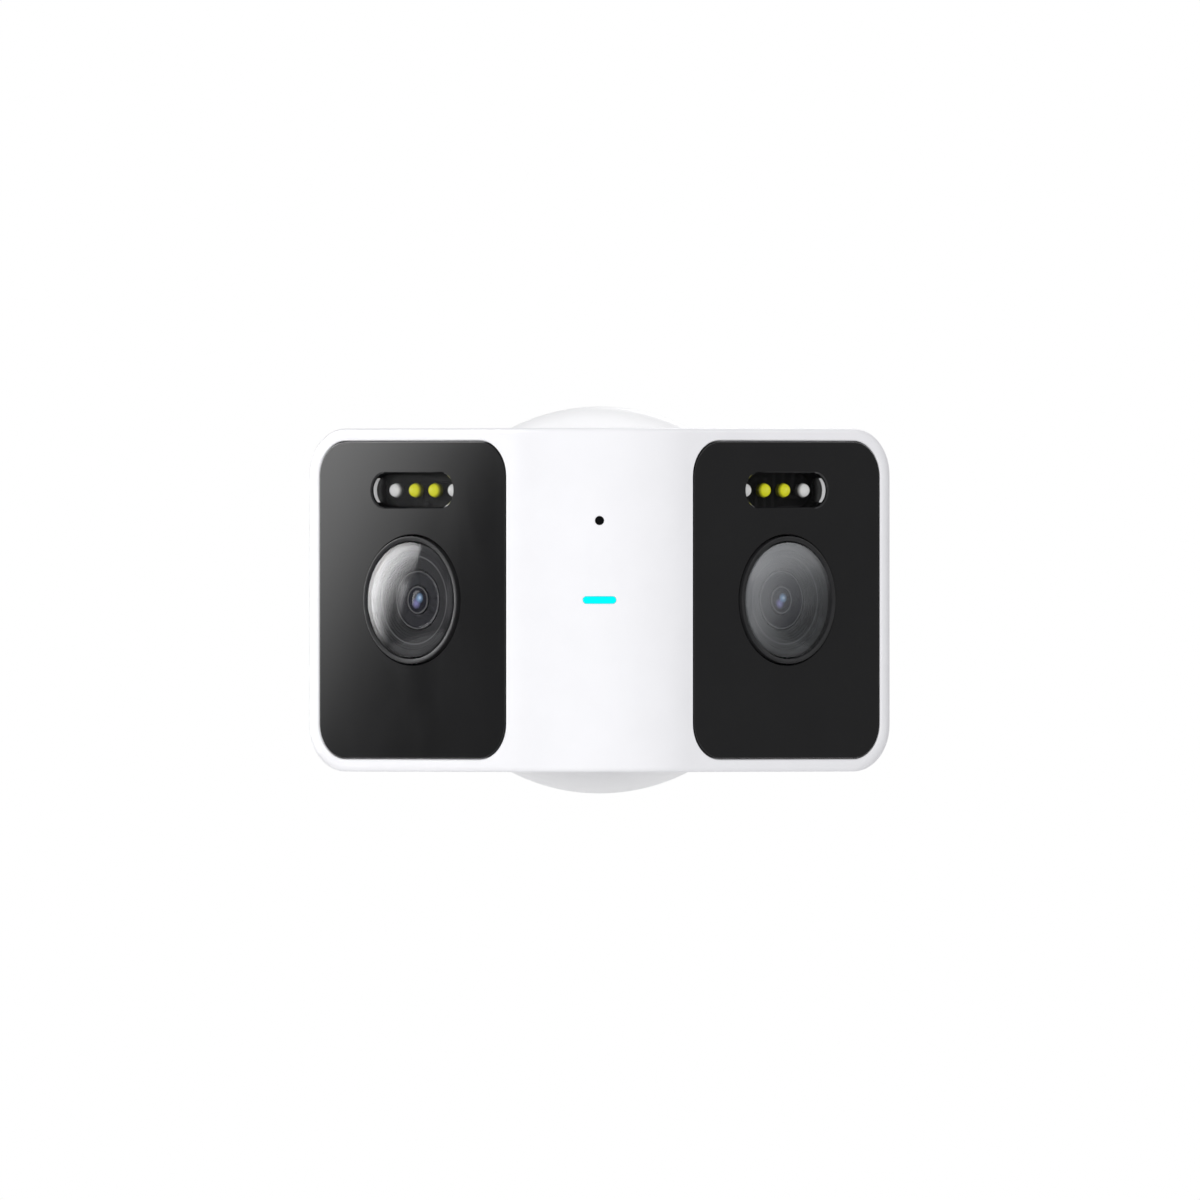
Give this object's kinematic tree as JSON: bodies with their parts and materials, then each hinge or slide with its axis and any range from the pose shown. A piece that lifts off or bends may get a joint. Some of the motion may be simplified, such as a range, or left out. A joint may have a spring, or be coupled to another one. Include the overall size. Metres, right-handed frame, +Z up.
{
  "type": "security camera",
  "caption": "Wedge-shaped two-lens outdoor security camera with small floodlights beside each lens, on a swivelling and tilting round wall mount.",
  "frame": {"origin": "middle of the wall plate's back face, which lies against the wall", "axes": "-Y is the way the camera looks, +Y goes into the wall, +X is to the right of someone facing the camera, +Z is up"},
  "size_m": [0.1276, 0.112, 0.0856],
  "materials": {
    "casing_white": "fine moulded texture, satin white",
    "gloss_black_panel": "polished black",
    "black_bezel": "satin black",
    "dome_glass": "clear, polished",
    "smoked_window": "dark tinted acrylic, polished",
    "coated_lens_glass": "coated glass with a blue-violet reflection",
    "black_plastic": "plain black moulding",
    "circuit_board": "green solder mask",
    "led_board_black": "black solder mask",
    "phosphor_led": "yellow phosphor under clear resin",
    "clear_led": "clear resin over white",
    "cyan_light_pipe": "lit cyan light pipe",
    "steel": "zinc plated",
    "brass": "turned",
    "battery_wrap": null,
    "dark_rubber": "moulded",
    "light_rubber": "moulded",
    "filter_glass": "infra-red cut coating"
  },
  "bodies": {
    "wall_mount": {"wall_plate": "steel", "base_cover": "casing_white", "base_lock_screw": "steel"},
    "swivel_arm": {"swivel_hub": "casing_white", "friction_washer": "dark_rubber", "hub_screw": "steel", "tilt_bolt": "steel"},
    "lock_knob": {"lock_knob": "casing_white"},
    "tilt_arm": {"knuckle": "casing_white", "mount_stud": "steel"},
    "head": {"front_shell": "casing_white", "rear_shell": "casing_white", "housing_gasket": "dark_rubber", "case_screw_left": "steel", "case_screw_right": "steel", "battery_cell_left": "battery_wrap", "battery_cell_right": "battery_wrap", "battery_holder": "black_plastic", "front_board": "circuit_board", "microphone": "black_plastic", "status_light_pipe": "cyan_light_pipe", "main_board": "circuit_board", "antenna": "brass", "speaker": "black_plastic", "port_board": "circuit_board", "usb_port": "steel", "thread_insert": "brass", "left_panel": "gloss_black_panel", "left_lens_bezel": "black_bezel", "left_lens_dome": "dome_glass", "left_lens_baffle": "black_bezel", "left_lens_barrel": "black_bezel", "left_lens_element": "coated_lens_glass", "left_lens_holder": "black_plastic", "left_sensor_board": "circuit_board", "left_led_window": "smoked_window", "left_led_board": "led_board_black", "left_ir_led_outer": "clear_led", "left_flood_led_outer": "phosphor_led", "left_flood_led_inner": "phosphor_led", "left_ir_led_inner": "clear_led", "right_panel": "gloss_black_panel", "right_lens_bezel": "black_bezel", "right_lens_dome": "dome_glass", "right_lens_baffle": "black_bezel", "right_lens_barrel": "black_bezel", "right_lens_element": "coated_lens_glass", "right_lens_holder": "black_plastic", "right_sensor_board": "circuit_board", "right_led_window": "smoked_window", "right_led_board": "led_board_black", "right_ir_led_outer": "clear_led", "right_flood_led_outer": "phosphor_led", "right_flood_led_inner": "phosphor_led", "right_ir_led_inner": "clear_led"},
    "left_filter": {"left_ir_cut_filter": "filter_glass"},
    "right_filter": {"right_ir_cut_filter": "filter_glass"},
    "port_flap": {"port_flap": "light_rubber"},
    "power_button": {"power_button": "light_rubber"},
    "reset_button": {"reset_button": "light_rubber"}
  },
  "joints": [
    {"name": "base_swivel", "type": "hinge", "parent": "wall_mount", "child": "swivel_arm", "pos_m": [0, -0.018, 0], "axis": [0, 1, 0], "range_deg": [-90, 90]},
    {"name": "head_tilt", "type": "hinge", "parent": "swivel_arm", "child": "tilt_arm", "pos_m": [0, -0.034, 0], "axis": [1, 0, 0], "range_deg": [-35, 35]},
    {"name": "head_spin", "type": "hinge", "parent": "tilt_arm", "child": "head", "pos_m": [0, -0.048, 0], "axis": [0, 1, 0], "range_deg": [-90, 90]},
    {"name": "knob_turn", "type": "hinge", "parent": "swivel_arm", "child": "lock_knob", "pos_m": [0, -0.034, 0], "axis": [1, 0, 0], "range_deg": [0, 180]},
    {"name": "flap_hinge", "type": "hinge", "parent": "head", "child": "port_flap", "pos_m": [-0.027, -0.061, -0.0377], "axis": [1, 0, 0], "range_deg": [0, 110]},
    {"name": "power_press", "type": "slide", "parent": "head", "child": "power_button", "axis": [0, 0, 1], "range_m": [0, 0.001], "stiffness_N_per_m": 400, "springref_m": -0.001},
    {"name": "reset_press", "type": "slide", "parent": "head", "child": "reset_button", "axis": [0, 0, 1], "range_m": [0, 0.001], "stiffness_N_per_m": 400, "springref_m": -0.001},
    {"name": "left_filter_slide", "type": "slide", "parent": "head", "child": "left_filter", "axis": [0, 0, -1], "range_m": [0, 0.007]},
    {"name": "right_filter_slide", "type": "slide", "parent": "head", "child": "right_filter", "axis": [0, 0, -1], "range_m": [0, 0.007]}
  ],
  "couplings": [
    {"joint": "right_filter_slide", "follows": "left_filter_slide", "ratio": 1}
  ]
}
